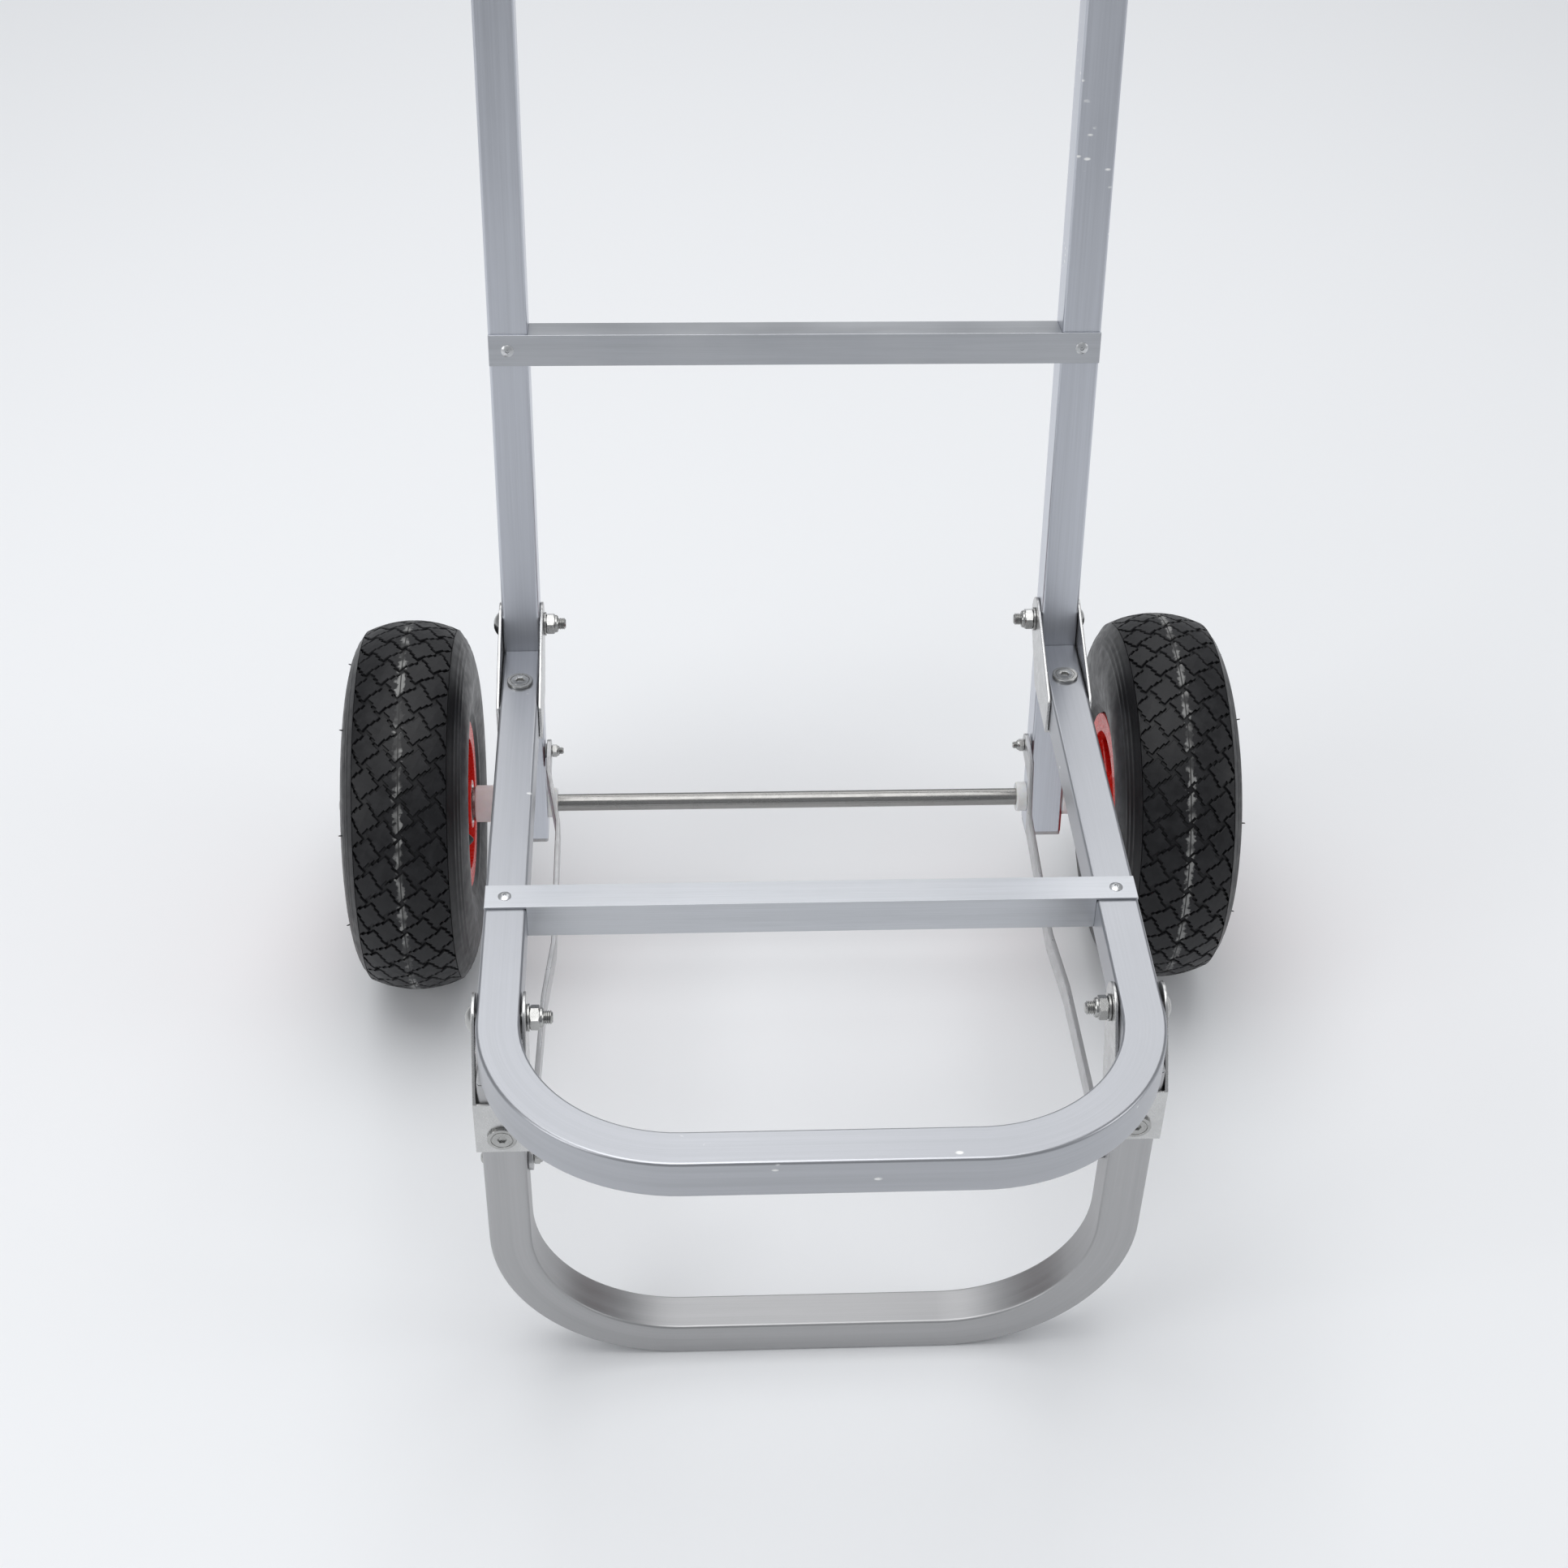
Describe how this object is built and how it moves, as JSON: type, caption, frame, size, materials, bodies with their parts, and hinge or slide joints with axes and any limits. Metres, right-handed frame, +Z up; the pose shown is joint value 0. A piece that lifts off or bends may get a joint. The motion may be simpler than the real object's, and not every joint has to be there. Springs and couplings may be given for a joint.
{
  "type": "folding hand truck",
  "caption": "Folding hand truck of bent square aluminium tube with a U-shaped load platform, folding front leg, flat struts and pneumatic wheels.",
  "frame": {"origin": "on the floor, in the middle of the truck's bounding box", "axes": "+X across the truck, +Y to the back, +Z up"},
  "size_m": [0.634, 0.6538, 1.0997],
  "materials": {
    "frame_aluminium": "satin extruded",
    "rivet": "satin",
    "grey_plug": "matt",
    "axle_steel": "drawn",
    "white_nylon": "satin",
    "spacer_nylon": "satin",
    "strut_steel": "zinc plated",
    "bracket_steel": "zinc plated",
    "zinc_fastener": "bright zinc plated",
    "tyre": "moulded tread",
    "inner_tube": "matt",
    "red_rim": "glossy moulded",
    "valve_rubber": "matt"
  },
  "bodies": {
    "handle": {"handle_frame": "frame_aluminium", "handle_crossbar": "frame_aluminium", "handle_crossbar_rivets": "rivet", "upright_plugs": "grey_plug", "axle": "axle_steel", "left_axle_bush": "white_nylon", "right_axle_bush": "white_nylon", "left_wheel_spacer": "spacer_nylon", "right_wheel_spacer": "spacer_nylon", "axle_washers": "zinc_fastener", "axle_caps": "zinc_fastener", "fold_bolts": "zinc_fastener", "fold_washers": "zinc_fastener", "fold_nuts": "zinc_fastener", "strut_bolts": "zinc_fastener", "strut_washers": "white_nylon", "strut_nuts": "zinc_fastener"},
    "platform": {"platform_frame": "frame_aluminium", "platform_crossbar": "frame_aluminium", "platform_crossbar_rivets": "rivet", "left_platform_bracket": "bracket_steel", "right_platform_bracket": "bracket_steel", "platform_bracket_bolts": "zinc_fastener", "platform_bracket_nuts": "zinc_fastener", "leg_bolts": "zinc_fastener", "leg_washers": "zinc_fastener", "leg_nuts": "zinc_fastener"},
    "leg": {"leg_frame": "frame_aluminium", "left_leg_bracket": "bracket_steel", "right_leg_bracket": "bracket_steel", "leg_bracket_bolts": "zinc_fastener", "leg_bracket_nuts": "zinc_fastener", "leg_plugs": "grey_plug", "strut_screws": "zinc_fastener", "strut_screw_nuts": "zinc_fastener"},
    "struts": {"left_strut": "strut_steel", "right_strut": "strut_steel"},
    "left_wheel": {"left_tyre": "tyre", "left_inner_tube": "inner_tube", "left_inner_rim": "red_rim", "left_outer_rim": "red_rim", "left_bearings": "axle_steel", "left_rim_bolts": "zinc_fastener", "left_rim_nuts": "zinc_fastener", "left_valve": "valve_rubber"},
    "right_wheel": {"right_tyre": "tyre", "right_inner_tube": "inner_tube", "right_inner_rim": "red_rim", "right_outer_rim": "red_rim", "right_bearings": "axle_steel", "right_rim_bolts": "zinc_fastener", "right_rim_nuts": "zinc_fastener", "right_valve": "valve_rubber"}
  },
  "joints": [
    {"name": "platform_fold", "type": "hinge", "parent": "handle", "child": "platform", "pos_m": [0, 0.16742, 0.26989], "axis": [-1, 0, 0], "range_deg": [0, 76]},
    {"name": "leg_fold", "type": "hinge", "parent": "platform", "child": "leg", "pos_m": [0, -0.1975, 0.26536], "axis": [-1, 0, 0], "range_deg": [-76, 0]},
    {"name": "strut_swing", "type": "hinge", "parent": "handle", "child": "struts", "pos_m": [0, 0.14592, 0.17539], "axis": [-1, 0, 0], "range_deg": [0, 76]},
    {"name": "left_wheel_spin", "type": "hinge", "parent": "handle", "child": "left_wheel", "pos_m": [-0.262, 0.1428, 0.13], "axis": [1, 0, 0], "continuous": true},
    {"name": "right_wheel_spin", "type": "hinge", "parent": "handle", "child": "right_wheel", "pos_m": [0.262, 0.1428, 0.13], "axis": [1, 0, 0], "continuous": true}
  ],
  "couplings": [
    {"joint": "leg_fold", "follows": "platform_fold", "ratio": -1},
    {"joint": "strut_swing", "follows": "platform_fold", "ratio": 1}
  ]
}
